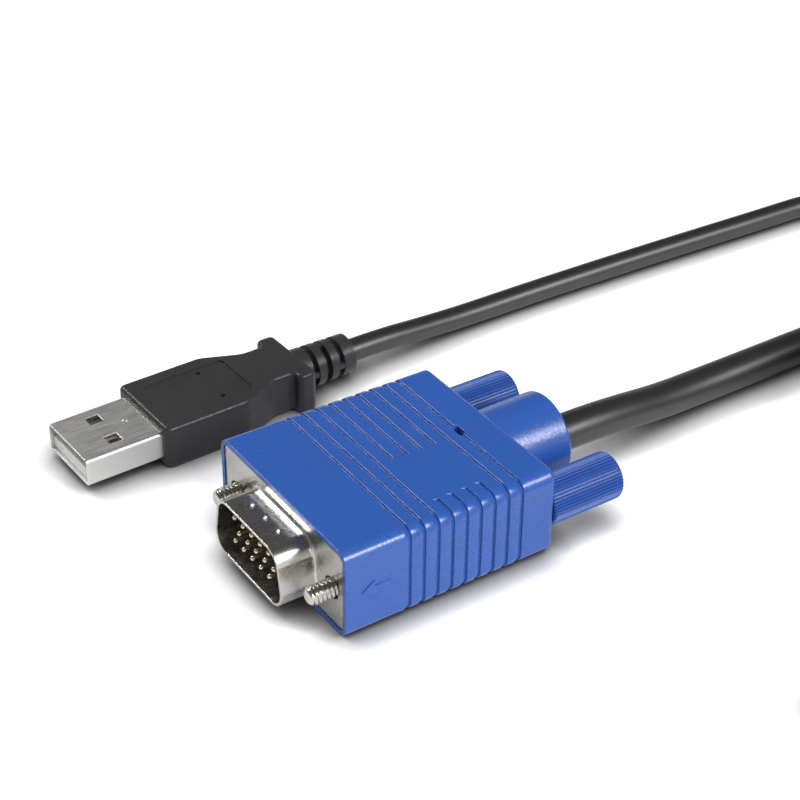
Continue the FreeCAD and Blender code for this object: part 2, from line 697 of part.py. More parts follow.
# Grip moulded over the plug: a flat body that narrows to a waist, a flared wing and the ribbed boot
grip = new_body("usb_grip")
plan = body_sketch(grip, "grip_plan", "XY_Plane")
TAPER_START = "usb_exposed + grip_straight"
WAIST_START = f"{TAPER_START} + grip_taper"
WING_START = f"{WAIST_START} + waist_length"
WING_END = f"{WING_START} + wing_length"
right_side = [("grip_width/2", "usb_exposed"), ("grip_width/2", TAPER_START), ("waist_width/2", WAIST_START),
              ("waist_width/2", WING_START), ("wing_width/2", WING_START), ("wing_width/2", WING_END)]
left_side = [(f"-{x}", y) for x, y in reversed(right_side)]
draw_polygon(plan, right_side + left_side)
pad(grip, "grip_block", plan, "grip_height")


def upright_at(edge, ways):
    if edge.BoundBox.ZLength < number("grip_height") - 0.1:
        return False
    return any(abs(edge.CenterOfMass.y - number(y)) < 0.05 and
               abs(abs(edge.CenterOfMass.x) - number(x)) < 0.05 for x, y in ways)


fillet(grip, "grip_sweeps", "grip_sweep", lambda edge: upright_at(edge, right_side[1:3]))
fillet(grip, "grip_corners", "grip_corner", lambda edge: upright_at(edge, right_side[0:1] + right_side[4:6]))
fillet(grip, "waist_corners", "grip_edge", lambda edge: upright_at(edge, right_side[3:4]))
fillet(grip, "grip_rounds", "grip_edge",
       lambda edge: lies_at(edge, "z", "0") or lies_at(edge, "z", "grip_height"))

BOOT_END = f"{WING_END} + boot_length"
cone = body_sketch(grip, "boot_profile", "YZ_Plane")
cone.setExpression("AttachmentOffset.Base.y", bound(USB_AXIS))
draw_polygon(cone, [(f"{WING_END} - grip_corner", "0"), (BOOT_END, "0"), (BOOT_END, "boot_end_diameter/2"),
                    (f"{WING_END} - grip_corner", "boot_diameter/2")])
revolve(grip, "boot", cone)
slots = body_sketch(grip, "boot_slots", "YZ_Plane")
slots.setExpression("AttachmentOffset.Base.y", bound(USB_AXIS))
webs_flat = body_sketch(grip, "boot_webs_flat", "XY_Plane", USB_AXIS)
webs_tall = body_sketch(grip, "boot_webs_tall", "YZ_Plane")
WEB_REACH = "boot_end_diameter/2"
for index in range(3):
    slot_start = f"({WING_END} + boot_slot_first + {index}*boot_slot_pitch)"
    slot_end = f"({slot_start} + boot_slot_width)"
    slot_top = "boot_diameter/2 + boot_web"
    draw_polygon(slots, [(slot_start, "boot_core/2"), (slot_end, "boot_core/2"), (slot_end, slot_top),
                         (slot_start, slot_top)])
    web_start = f"({slot_start} - boot_web/4)"
    web_end = f"({slot_end} + boot_web/4)"
    if index == 1:
        low = f"{USB_AXIS} - {WEB_REACH}"
        high = f"{USB_AXIS} + {WEB_REACH}"
        draw_polygon(webs_tall, [(web_start, low), (web_end, low), (web_end, high), (web_start, high)])
    else:
        draw_polygon(webs_flat, [(f"-{WEB_REACH}", web_start), (WEB_REACH, web_start),
                                 (WEB_REACH, web_end), (f"-{WEB_REACH}", web_end)])
revolve(grip, "boot_slot_cuts", slots, subtract=True)
pad(grip, "boot_webs_across", webs_flat, "boot_web", midplane=True)
pad(grip, "boot_webs_upright", webs_tall, "boot_web", midplane=True)

# Sockets for the shell and the inner moulding, and the bare recessed panel with two mould-pin marks
shell_socket = body_sketch(grip, "shell_socket", "XZ_Plane", "-usb_exposed")
draw_rounded_rectangle(shell_socket, "usb_shell_width", "usb_shell_height", "usb_shell_corner", low=USB_LOW)
pocket(grip, "shell_socket_cut", shell_socket, "usb_shell_hidden")
core_seat = body_sketch(grip, "core_seat", "XZ_Plane", f"-({USB_DEEP})")
draw_rounded_rectangle(core_seat, "usb_core_width", "usb_core_height", "usb_shell_corner",
                       low=f"{USB_AXIS} - usb_core_height/2")
pocket(grip, "core_seat_cut", core_seat, "usb_core_length")
panel = body_sketch(grip, "panel_outline", "XY_Plane", "grip_height")
draw_rounded_rectangle(panel, "panel_width", "panel_length", "panel_corner",
                       low="usb_exposed + panel_setback")
pocket(grip, "panel_recess", panel, "panel_depth")
pinholes = body_sketch(grip, "pinholes", "XY_Plane", "grip_height")
for side in ("-", ""):
    draw_circle(pinholes, f"{side}pinhole_spacing/2", "usb_exposed + pinhole_setback", "pinhole_diameter/2")
pocket(grip, "pinhole_cuts", pinholes, "pinhole_depth")
stand_usb(grip)
sub_part("usb_overmould", grip)

# Cords: each tube follows straight runs with tangent arcs as large as the runs allow. The first two
# points leave a plug or a coil square to its end, and the last two arrive so.
def leave(x, y, z, turn, run):
    """A point and a second one further on, at a bearing measured from +Y towards -X."""
    start = (number(x), number(y), number(z))
    bearing = math.radians(number(turn))
    reach = number(run)
    return [start, (start[0] - reach * math.sin(bearing), start[1] + reach * math.cos(bearing), start[2])]


VIDEO_TURN = "(video_coil_radius + video_coil_across/2 - video_cord/2)"
USB_TURN = "(usb_coil_radius + usb_coil_across/2 - usb_cord/2)"
USB_COIL_BASE = "(video_coil_high + tie_sheet)"
VIDEO_CORD_ROUTE = leave("video_x", f"video_y + {BOSS_END}", "hood_height/2 - video_cord_drop", "0",
                         "video_cord_lead")
VIDEO_CORD_ROUTE += [(14.2, 42.2, 5.05), (13.3, 51.2, 3.4), (12.7, 60.6, 2.8), (12.7, 70.6, 2.8)]
VIDEO_CORD_ROUTE += [(number(f"video_coil_x - {VIDEO_TURN}"), number("video_coil_y - video_stub"), 2.8)]
VIDEO_TAIL_ROUTE = leave(f"video_coil_x + {VIDEO_TURN}", "video_coil_y - video_stub", "video_cord/2", "180",
                         "tail_lead")
VIDEO_TAIL_ROUTE += [(88.0, 67.0, 4.0)]
VIDEO_TAIL_ROUTE += leave("far_x + far_cord_spacing/2", "far_y", "far_height/2", "0", "tail_lead")[::-1]
USB_CORD_ROUTE = leave(f"usb_x - ({BOOT_END})*sin(usb_turn)", f"usb_y + ({BOOT_END})*cos(usb_turn)",
                       USB_AXIS, "usb_turn", "usb_cord_lead")
USB_CORD_ROUTE += [(-25.0, 32.6, 2.7), (-25.5, 42.1, 1.95), (-25.6, 54.1, 1.9), (-25.35, 68.1, 1.9),
                   (-24.95, 83.1, 1.9), (-24.35, 98.1, 1.9), (-23.95, 109.1, 1.9), (-23.7, 119.0, 1.9),
                   (-18.5, 128.6, 2.6), (-7.0, 131.65, 6.4), (6.0, 131.65, 11.6), (16.0, 131.65, 13.9)]
USB_CORD_ROUTE += [(number("usb_coil_x - usb_stub"), number(f"usb_coil_y + {USB_TURN}"),
                    number(f"{USB_COIL_BASE} + usb_cord/2"))]
USB_TAIL_ROUTE = leave(f"usb_coil_x + {USB_TURN}", "usb_coil_y - usb_stub", f"{USB_COIL_BASE} + usb_cord/2",
                       "180", "tail_lead")
USB_TAIL_ROUTE += [(77.2, 72.4, 12.4), (77.0, 66.6, 8.8)]
USB_TAIL_ROUTE += leave("far_x - far_cord_spacing/2", "far_y", "far_height/2", "0", "tail_lead")[::-1]


def cord_tube(label, route, diameter):
    points = [FreeCAD.Vector(*point) for point in route]
    share = 0.45
    edges = []
    radii = []
    start = points[0]
    for before, corner, after in zip(points, points[1:], points[2:]):
        reach = share * min((corner - before).Length, (after - corner).Length)
        into = (before - corner).normalize()
        out = (after - corner).normalize()
        half_turn = (math.pi - into.getAngle(out)) / 2
        radii.append(reach / math.tan(half_turn))
        first = corner + into * reach
        last = corner + out * reach
        sagitta = radii[-1] * (1 / math.cos(half_turn) - 1)
        middle = corner + (into + out).normalize() * sagitta
        edges.append(Part.LineSegment(start, first).toShape())
        edges.append(Part.Arc(first, middle, last).toShape())
        start = last
    edges.append(Part.LineSegment(start, points[-1]).toShape())
    path = Part.Wire(edges)
    width = number(diameter)
    ring = Part.Circle(points[0], points[1] - points[0], width / 2).toShape()
    solid = path.makePipeShell([Part.Wire([ring])], True, False)
    section = math.pi * width ** 2 / 4
    print(f"{label}: length {path.Length:.1f}, radii", [round(radius, 1) for radius in radii],
          f"volume share {solid.Volume / (section * path.Length):.4f}")
    tube = doc.addObject("Part::Feature", label)
    tube.Shape = solid
    sub_part(label, tube)


cord_tube("vga_cord", VIDEO_CORD_ROUTE, "video_cord")
cord_tube("vga_tail", VIDEO_TAIL_ROUTE, "video_cord")
cord_tube("usb_cord", USB_CORD_ROUTE, "usb_cord")
cord_tube("usb_tail", USB_TAIL_ROUTE, "usb_cord")


def coil(prefix, label, cord, base, in_turn, out_turn, tie_turn):
    """The put-away length: a ring of turns in two layers, with a stub where the cord goes in and one
    where it comes out, held by a strap. A stub's turn is its bearing round the ring from -X."""
    radius, across, high = f"{prefix}_coil_radius", f"{prefix}_coil_across", f"{prefix}_coil_high"
    ring = new_body(label + "_ring")
    section = body_sketch(ring, label + "_section", "XZ_Plane")
    corner = f"{cord}/2"
    inner, outer = f"{radius} - {across}/2 + {corner}", f"{radius} + {across}/2 - {corner}"
    draw_rounded(section, [(inner, corner), (outer, corner), (outer, f"{high} - {corner}"),
                           (inner, f"{high} - {corner}")], corner)
    turning = ring.newObject("PartDesign::Revolution", label + "_turns")
    turning.Profile = section
    turning.ReferenceAxis = (section, ["V_Axis"])
    turning.Angle = 360
    place(ring, turn="45")
    doc.recompute()
    stubs = []
    for name, turn in (("in", in_turn), ("out", out_turn)):
        stub = doc.addObject("Part::Cylinder", f"{label}_{name}_stub")
        drive(stub, "Radius", f"{cord}/2")
        drive(stub, "Height", f"{prefix}_stub")
        lying = FreeCAD.Rotation(FreeCAD.Vector(1, 0, 0), 90 if name == "in" else -90)
        spin = FreeCAD.Rotation(FreeCAD.Vector(0, 0, 1), number(turn))
        away = FreeCAD.Vector(-number(outer), 0, number(cord) / 2)
        stub.Placement = FreeCAD.Placement(spin.multVec(away), spin.multiply(lying))
        drive(stub, "Placement.Base.x", f"-({outer})*cos({turn})")
        drive(stub, "Placement.Base.y", f"-({outer})*sin({turn})")
        drive(stub, "Placement.Base.z", f"{cord}/2")
        stubs.append(stub)
    wound = combine("Part::MultiFuse", label + "_wound", ring, stubs)
    strap_outside = block(label + "_strap_outside", f"{radius} - {across}/2 - tie_sheet", "-tie_width/2", "0",
                          f"{across} + 2*tie_sheet", "tie_width", f"{high} + tie_sheet")
    strap_inside = block(label + "_strap_inside", f"{radius} - {across}/2", "-tie_width", "tie_sheet",
                         across, "2*tie_width", f"{high} - tie_sheet")
    strap = combine("Part::Cut", label + "_strap", strap_outside, strap_inside)
    place(strap, turn=tie_turn)
    bundle = combine("Part::Cut", label, wound, strap)
    place(bundle, f"{prefix}_coil_x", f"{prefix}_coil_y", base)
    sub_part(label, bundle)
    # The strap is also what the turns yield to, so its own copy takes the place in the assembly
    tie = doc.addObject("Part::Compound", label + "_tie")
    tie.Links = [strap]
    place(tie, f"{prefix}_coil_x", f"{prefix}_coil_y", base)
    sub_part(label + "_tie", tie)


coil("video", "vga_coil", "video_cord", "0", in_turn="0", out_turn="180", tie_turn="90")
coil("usb", "usb_coil", "usb_cord", USB_COIL_BASE, in_turn="-90", out_turn="180", tie_turn="180")

# Far plug: a plain hood with two cord bosses, the D skirt, insulator and contacts. Drawn with y = 0
# where the cords end and turned so that its mating face looks to -Y.
FAR_AXIS = "far_height/2"
FAR_FACE = "(far_boss_length + far_length)"


def stand_far(thing):
    place(thing, "far_x", "far_y", "0", "180")


far_hood = new_body("far_hood")
far_outline = body_sketch(far_hood, "far_outline", "XZ_Plane", "-far_boss_length")
draw_rounded_rectangle(far_outline, "far_width", "far_height", "far_edge")
pad(far_hood, "far_block", far_outline, "far_length", to_plus_y=True)
fillet(far_hood, "far_back_round", "far_edge", lambda edge: lies_at(edge, "y", "far_boss_length"))
bosses = body_sketch(far_hood, "far_bosses", "XZ_Plane")
for side, cord in (("-", "video_cord"), ("", "usb_cord")):
    draw_circle(bosses, f"{side}far_cord_spacing/2", FAR_AXIS, f"{cord}/2 + far_boss_wall")
pad(far_hood, "far_boss_pads", bosses, "far_boss_length + far_edge", to_plus_y=True)
far_mouth = body_sketch(far_hood, "far_mouth", "XZ_Plane", f"-{FAR_FACE}")
draw_rounded(far_mouth, skirt_centres(FAR_AXIS), "skirt_corner + skirt_wall + seat_gap")
pocket(far_hood, "far_socket", far_mouth, "far_socket_depth", reverse=True)
stand_far(far_hood)
sub_part("console_plug_hood", far_hood)

far_shell = new_body("far_shell")
far_skirt = body_sketch(far_shell, "far_skirt", "XZ_Plane", f"-({FAR_FACE} - far_socket_depth)")
draw_rounded(far_skirt, skirt_centres(FAR_AXIS), "skirt_corner + skirt_wall")
pad(far_shell, "far_skirt_tube", far_skirt, "far_socket_depth + skirt_lead", to_plus_y=True)
far_inside = body_sketch(far_shell, "far_inside", "XZ_Plane", f"-({FAR_FACE} - far_socket_depth)")
draw_rounded(far_inside, skirt_centres(FAR_AXIS), "skirt_corner")
pocket(far_shell, "far_skirt_mouth", far_inside, "2*(far_socket_depth + skirt_lead)")
stand_far(far_shell)
sub_part("console_plug_shell", far_shell)


def stand_far_connector(thing):
    """The insulator and contacts are drawn with the mating face to -Y already."""
    place(thing, "far_x", f"far_y - {FAR_FACE}")


far_insulator = insulator("far_insulator", FAR_AXIS, "insulator_lead", "far_socket_depth")
stand_far_connector(far_insulator)
sub_part("console_plug_insulator", far_insulator)
far_contacts = contacts("far_contacts", FAR_AXIS, "far_socket_depth")
stand_far_connector(far_contacts)
sub_part("console_plug_contacts", far_contacts)

# Every object is sound, and every sub-part is a valid solid, before anything is written
doc.recompute()
for thing in doc.Objects:
    if "Invalid" in thing.State or "Error" in thing.State:
        raise RuntimeError(f"{thing.Label} failed: {thing.State}")
os.makedirs("parts", exist_ok=True)
for label, thing in PARTS.items():
    shape = thing.Shape
    if shape.isNull() or not shape.isValid() or not shape.Solids:
        raise RuntimeError(f"{label} has no valid solid")
for label, thing in PARTS.items():
    thing.Shape.exportStep(f"parts/{label}.step")
    print(f"{label}: {len(thing.Shape.Solids)} solids, {thing.Shape.Volume:.2f} mm3")
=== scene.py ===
import bmesh
import bpy
import math
from mathutils import Matrix, Vector


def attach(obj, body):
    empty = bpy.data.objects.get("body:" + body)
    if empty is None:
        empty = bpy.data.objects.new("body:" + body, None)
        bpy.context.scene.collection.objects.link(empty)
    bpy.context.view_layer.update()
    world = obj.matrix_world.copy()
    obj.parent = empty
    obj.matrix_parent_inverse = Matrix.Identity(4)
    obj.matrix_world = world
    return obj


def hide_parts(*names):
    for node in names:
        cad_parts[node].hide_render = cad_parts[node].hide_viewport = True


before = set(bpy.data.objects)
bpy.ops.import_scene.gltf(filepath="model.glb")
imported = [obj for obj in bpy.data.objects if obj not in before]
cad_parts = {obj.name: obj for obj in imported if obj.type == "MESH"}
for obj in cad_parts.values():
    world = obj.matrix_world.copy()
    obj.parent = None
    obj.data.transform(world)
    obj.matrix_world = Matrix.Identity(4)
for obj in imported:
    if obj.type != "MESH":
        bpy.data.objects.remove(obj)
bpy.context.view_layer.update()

# Contacts of the video plug: turned copper-alloy pins with a thin gold flash and rounded tips, pressed
# into the insulator from behind in three staggered rows.
MM = 0.001
PLUG_X, PLUG_Y, PLUG_Z = 14.6, -16.155, 6.35
PIN_COLUMNS, PIN_ROWS = 5, 3
PIN_PITCH, ROW_PITCH = 2.29, 1.98
ROW_STAGGER = PIN_PITCH / 4
PIN_RADIUS = 0.38
PIN_TIP_ROUND = PIN_RADIUS * 0.92
PIN_FRONT, PIN_BACK = -4.7, 5.8
PIN_SIDES, PIN_TIP_STEPS = 20, 6
PIN_SMOOTH_ANGLE = 40


def put_in_scene(name, data):
    piece = bpy.data.objects.new(name, data)
    bpy.context.scene.collection.objects.link(piece)
    return piece


def turned_mesh(name, profile, segments, centre=(0, 0, 0)):
    """A solid of revolution about the Y direction. The profile runs from axis to axis as (y, radius) in
    millimetres."""
    cx, cy, cz = centre
    shape = bmesh.new()
    rings = []
    for y, radius in profile:
        if radius == 0:
            rings.append([shape.verts.new((cx * MM, (cy + y) * MM, cz * MM))])
            continue
        ring = []
        for step in range(segments):
            turn = 2 * math.pi * step / segments
            x = cx + radius * math.cos(turn)
            z = cz + radius * math.sin(turn)
            ring.append(shape.verts.new((x * MM, (cy + y) * MM, z * MM)))
        rings.append(ring)
    for front, back in zip(rings, rings[1:]):
        for step in range(segments):
            following = (step + 1) % segments
            corners = []
            for ring, order in ((front, (step, following)), (back, (following, step))):
                corners += [ring[0]] if len(ring) == 1 else [ring[i] for i in order]
            shape.faces.new(corners)
    bmesh.ops.recalc_face_normals(shape, faces=shape.faces)
    mesh = bpy.data.meshes.new(name)
    shape.to_mesh(mesh)
    shape.free()
    return mesh


def rounded_end(y, radius, corner, steps, inward):
    """Points of a quarter round between a flat end on the axis side and the cylinder behind it."""
    points = []
    for step in range(steps + 1):
        turn = 0.5 * math.pi * step / steps
        points.append((y + inward * corner * (1 - math.cos(turn)),
                       radius - corner + corner * math.sin(turn)))
    return points


def node(tree, kind, **settings):
    made = tree.nodes.new(kind)
    for key, value in settings.items():
        setattr(made, key, value)
    return made


def maths(tree, operation, first, second=None, third=None):
    """A Math node whose inputs are sockets or plain numbers. Gives its output socket."""
    made = node(tree, "ShaderNodeMath", operation=operation)
    for index, value in enumerate((first, second, third)):
        if value is None:
            continue
        if isinstance(value, (int, float)):
            made.inputs[index].default_value = value
        else:
            tree.links.new(value, made.inputs[index])
    return made.outputs[0]


def geometry_tree(name, sizes):
    """An empty Geometry Nodes tree with a geometry input, a material input and one named float a size."""
    tree = bpy.data.node_groups.new(name, "GeometryNodeTree")
    tree.interface.new_socket("Geometry", in_out="INPUT", socket_type="NodeSocketGeometry")
    tree.interface.new_socket("Geometry", in_out="OUTPUT", socket_type="NodeSocketGeometry")
    tree.interface.new_socket("Finish", in_out="INPUT", socket_type="NodeSocketMaterial")
    for size in sizes:
        tree.interface.new_socket(size, in_out="INPUT", socket_type="NodeSocketFloat")
    return tree, node(tree, "NodeGroupInput"), node(tree, "NodeGroupOutput")


def end_tree(tree, given, result, geometry):
    """Realize the instances, give the finish and hand the geometry out."""
    real = node(tree, "GeometryNodeRealizeInstances")
    paint = node(tree, "GeometryNodeSetMaterial")
    tree.links.new(geometry, real.inputs["Geometry"])
    tree.links.new(real.outputs["Geometry"], paint.inputs["Geometry"])
    tree.links.new(given.outputs["Finish"], paint.inputs["Material"])
    tree.links.new(paint.outputs["Geometry"], result.inputs["Geometry"])


def grown(piece, tree, values):
    """Run a tree on a piece with its inputs set by identifier, and keep the result as a plain mesh."""
    modifier = piece.modifiers.new(tree.name, "NODES")
    modifier.node_group = tree
    for item in tree.interface.items_tree:
        if item.item_type == "SOCKET" and item.in_out == "INPUT" and item.name in values:
            modifier[item.identifier] = values[item.name]
    bpy.context.view_layer.update()
    ready = piece.evaluated_get(bpy.context.evaluated_depsgraph_get())
    mesh = bpy.data.meshes.new_from_object(ready)
    mesh.name = piece.name
    piece.modifiers.remove(modifier)
    piece.data = mesh
    return piece


def smooth(piece, degrees):
    piece.data.shade_smooth()
    piece.data.set_sharp_from_angle(angle=math.radians(degrees))
    return piece


NOISE_LOW, NOISE_HIGH = 0.3, 0.7
TINT_DETAIL, GRAIN_DETAIL = 4.0, 3.0


def finish(name, colour, roughness, metallic=0.0, tint=0.0, tint_scale=120.0, rough_spread=0.06,
           grain=9000.0, grain_height=0.004, stretch=(1, 1, 1), specular=0.5):
    """A procedural finish on object coordinates: a base colour that drifts a little, a roughness that
    varies round its value, and a fine surface grain as bump, its height in millimetres."""
    material = bpy.data.materials.new(name)
    material.use_nodes = True
    tree = material.node_tree
    shader = tree.nodes["Principled BSDF"]
    shader.inputs["Metallic"].default_value = metallic
    shader.inputs["Specular IOR Level"].default_value = specular
    where = node(tree, "ShaderNodeTexCoord")
    aim = node(tree, "ShaderNodeMapping")
    aim.inputs["Scale"].default_value = stretch
    tree.links.new(where.outputs["Object"], aim.inputs["Vector"])
    drift = node(tree, "ShaderNodeTexNoise")
    drift.inputs["Scale"].default_value = tint_scale
    drift.inputs["Detail"].default_value = TINT_DETAIL
    tree.links.new(aim.outputs["Vector"], drift.inputs["Vector"])
    shades = node(tree, "ShaderNodeValToRGB")
    darker, lighter = shades.color_ramp.elements
    darker.position, lighter.position = NOISE_LOW, NOISE_HIGH
    darker.color = [c * (1 - tint) for c in colour] + [1]
    lighter.color = [min(1, c * (1 + tint)) for c in colour] + [1]
    tree.links.new(drift.outputs["Fac"], shades.inputs["Fac"])
    tree.links.new(shades.outputs["Color"], shader.inputs["Base Color"])
    speckle = node(tree, "ShaderNodeTexNoise")
    speckle.inputs["Scale"].default_value = grain
    speckle.inputs["Detail"].default_value = GRAIN_DETAIL
    tree.links.new(aim.outputs["Vector"], speckle.inputs["Vector"])
    spread = node(tree, "ShaderNodeMapRange")
    spread.inputs["From Min"].default_value = NOISE_LOW
    spread.inputs["From Max"].default_value = NOISE_HIGH
    spread.inputs["To Min"].default_value = roughness - rough_spread
    spread.inputs["To Max"].default_value = roughness + rough_spread
    tree.links.new(speckle.outputs["Fac"], spread.inputs["Value"])
    tree.links.new(spread.outputs["Result"], shader.inputs["Roughness"])
    bump = node(tree, "ShaderNodeBump")
    bump.inputs["Strength"].default_value = 1.0
    bump.inputs["Distance"].default_value = grain_height * MM
    tree.links.new(speckle.outputs["Fac"], bump.inputs["Height"])
    tree.links.new(bump.outputs["Normal"], shader.inputs["Normal"])
    return material


gold_flash = finish("gold_flash", (0.80, 0.73, 0.56), 0.24, metallic=1.0, tint=0.05, grain=4000,
                    grain_height=0.001)
pin_profile = [(PIN_FRONT, 0.0)]
pin_profile += rounded_end(PIN_FRONT, PIN_RADIUS, PIN_TIP_ROUND, PIN_TIP_STEPS, 1)
pin_profile += [(PIN_BACK, PIN_RADIUS), (PIN_BACK, 0.0)]
pin_master = put_in_scene("pin_master", turned_mesh("pin_master", pin_profile, PIN_SIDES))
smooth(pin_master, PIN_SMOOTH_ANGLE)

pin_tree, pin_in, pin_out = geometry_tree("contact_field", ("Pitch", "Row", "Nudge"))
pin_tree.interface.new_socket("Pin", in_out="INPUT", socket_type="NodeSocketObject")
field = node(pin_tree, "GeometryNodeMeshGrid")
field.inputs["Vertices X"].default_value = PIN_COLUMNS
field.inputs["Vertices Y"].default_value = PIN_ROWS
field_width = maths(pin_tree, "MULTIPLY", pin_in.outputs["Pitch"], PIN_COLUMNS - 1)
field_height = maths(pin_tree, "MULTIPLY", pin_in.outputs["Row"], PIN_ROWS - 1)
pin_tree.links.new(field_width, field.inputs["Size X"])
pin_tree.links.new(field_height, field.inputs["Size Y"])
spot = node(pin_tree, "ShaderNodeSeparateXYZ")
pin_tree.links.new(node(pin_tree, "GeometryNodeInputPosition").outputs[0], spot.inputs[0])
from_middle = maths(pin_tree, "ABSOLUTE", spot.outputs["Y"])
outer_row = maths(pin_tree, "GREATER_THAN", from_middle, ROW_PITCH / 2 * MM)
side = maths(pin_tree, "SUBTRACT", 1.0, maths(pin_tree, "MULTIPLY", outer_row, 2.0))
upright = node(pin_tree, "ShaderNodeCombineXYZ")
shift = maths(pin_tree, "MULTIPLY_ADD", side, pin_in.outputs["Nudge"], spot.outputs["X"])
pin_tree.links.new(shift, upright.inputs["X"])
pin_tree.links.new(spot.outputs["Y"], upright.inputs["Z"])
stand = node(pin_tree, "GeometryNodeSetPosition")
pin_tree.links.new(field.outputs["Mesh"], stand.inputs["Geometry"])
pin_tree.links.new(upright.outputs[0], stand.inputs["Position"])
copies = node(pin_tree, "GeometryNodeInstanceOnPoints")
fetch = node(pin_tree, "GeometryNodeObjectInfo")
pin_tree.links.new(pin_in.outputs["Pin"], fetch.inputs["Object"])
pin_tree.links.new(stand.outputs["Geometry"], copies.inputs["Points"])
pin_tree.links.new(fetch.outputs["Geometry"], copies.inputs["Instance"])
end_tree(pin_tree, pin_in, pin_out, copies.outputs["Instances"])


def contact_field(name, middle, replaced):
    """Fifteen contacts round a middle point in millimetres, in the place of a CAD node."""
    piece = put_in_scene(name, bpy.data.meshes.new(name))
    grown(piece, pin_tree, {"Pitch": PIN_PITCH * MM, "Row": ROW_PITCH * MM, "Nudge": ROW_STAGGER * MM,
                            "Pin": pin_master, "Finish": gold_flash})
    piece.data.transform(Matrix.Translation([value * MM for value in middle]))
    smooth(piece, PIN_SMOOTH_ANGLE)
    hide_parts(replaced)
    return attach(piece, "root")


contact_field("video_contacts", (PLUG_X, PLUG_Y, PLUG_Z), "vga_contacts")

# Insulator of the video plug: a black glass-filled moulding that holds the contacts and is clamped
# between the front and rear shells.
black_insulator = finish("black_insulator", (0.012, 0.012, 0.013), 0.5, tint=0.1, grain=6000)
SEAM_GAP = 2e-6
FLAT_ANGLE, SHARP_ANGLE = 0.6, 30
EDGE_SEGMENTS = 2


def dressed(node_name, name, edge_round, material, clamp=True, crisp=None):
    """A closed copy of a CAD node with its seams merged, its flat faces joined and its sharp edges
    rounded as a moulded or pressed edge is. The clamp keeps a rounding from overrunning short edges.
    Edges inside the crisp box stay sharp."""
    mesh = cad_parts[node_name].data.copy()
    mesh.name = name
    if "custom_normal" in mesh.attributes:
        mesh.attributes.remove(mesh.attributes["custom_normal"])
    shape = bmesh.new()
    shape.from_mesh(mesh)
    bmesh.ops.remove_doubles(shape, verts=shape.verts, dist=SEAM_GAP)
    bmesh.ops.dissolve_limit(shape, angle_limit=math.radians(FLAT_ANGLE), verts=shape.verts,
                             edges=shape.edges)
    rounding = shape.edges.layers.float.new("bevel_weight_edge")
    for edge in shape.edges:
        sharp = edge.is_manifold and edge.calc_face_angle() > math.radians(SHARP_ANGLE)
        spared = crisp and all(low * MM < value < high * MM for corner in edge.verts
                               for value, low, high in zip(corner.co, *crisp))
        edge[rounding] = float(sharp and not spared)
    shape.to_mesh(mesh)
    shape.free()
    mesh.materials.clear()
    mesh.materials.append(material)
    piece = put_in_scene(name, mesh)
    smooth(piece, SHARP_ANGLE)
    if edge_round:
        softened = piece.modifiers.new("edge_round", "BEVEL")
        softened.limit_method = "WEIGHT"
        softened.width = edge_round * MM
        softened.segments = EDGE_SEGMENTS
        softened.use_clamp_overlap = clamp
        softened.face_strength_mode = "FSTR_ALL"
    level = piece.modifiers.new("flat_faces", "WEIGHTED_NORMAL")
    level.keep_sharp = True
    level.use_face_influence = bool(edge_round)
    ready = piece.evaluated_get(bpy.context.evaluated_depsgraph_get())
    piece.data = bpy.data.meshes.new_from_object(ready)
    piece.modifiers.clear()
    piece.data.name = name
    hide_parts(node_name)
    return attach(piece, "root")


dressed("vga_insulator", "video_insulator", 0, black_insulator)

# Front and rear shells of the video plug: drawn and nickel-plated steel sheet, flange to flange, with
# the D-shaped skirt in one piece with the front flange.
bright_nickel = finish("bright_nickel", (0.62, 0.605, 0.57), 0.26, metallic=1.0, tint=0.04, tint_scale=260,
                       rough_spread=0.04, grain=700, grain_height=0.003)
dressed("vga_front_shell", "video_front_shell", 0.1, bright_nickel)
dressed("vga_rear_shell", "video_rear_shell", 0, bright_nickel)

# Inner moulding of the video plug: a plain grey-black block cast round the solder joints, out of sight
# inside the hood.
inner_block = finish("inner_block", (0.05, 0.05, 0.052), 0.55, tint=0.1)
dressed("vga_inner_mould", "video_inner_mould", 0, inner_block)

# Hood of the video plug: one satin blue moulding over the inner block, with saw-tooth ribs all round, a
# flat label field, a raised arrow on its side and the boss that grips the cord.
satin_blue = finish("satin_blue", (0.024, 0.10, 0.41), 0.29, tint=0.03, tint_scale=90, grain=2600,
                    grain_height=0.02, rough_spread=0.05, specular=0.7)
ARROW_BOX = ((PLUG_X + 13.0, PLUG_Y + 2.0, PLUG_Z - 2.0), (PLUG_X + 20.0, PLUG_Y + 7.2, PLUG_Z + 2.0))
dressed("vga_hood", "video_hood", 0.1, satin_blue, clamp=False, crisp=ARROW_BOX)

# Jackscrews: nickel-plated steel screws that run through the hood, threaded at the front and with their
# knobs moulded on at the back. They turn freely in the hood's rear wall.
SCREW_SIDES = (("left", -12.495, 0.4), ("right", 12.495, 0.0))
SCREW_TIP, SCREW_TIP_ROUND = -3.85, 1.0
THREAD_PITCH, THREAD_DEPTH = 0.635, 0.3
THREAD_STEEPNESS, THREAD_ROOT_ROUND = 1.3, 0.3
THREAD_LEAD_IN, THREAD_RUN_OUT = 0.2, 0.7
THREAD_RADIUS, SHANK_RADIUS = 1.42, 1.15
THREAD_END, THREAD_SHOULDER = 1.4, 0.3
HOOD_BACK = 34.0
SHANK_END = HOOD_BACK + 9.3
SCREW_SEGMENTS, SCREW_TIP_STEPS, THREAD_RINGS = 64, 16, 200
SCREW_SMOOTH_ANGLE = 85
NEAR_AXIS = 1e-6
screw_nickel = finish("screw_nickel", (0.66, 0.63, 0.57), 0.26, metallic=1.0, tint=0.06, grain=3000,
                      grain_height=0.001)


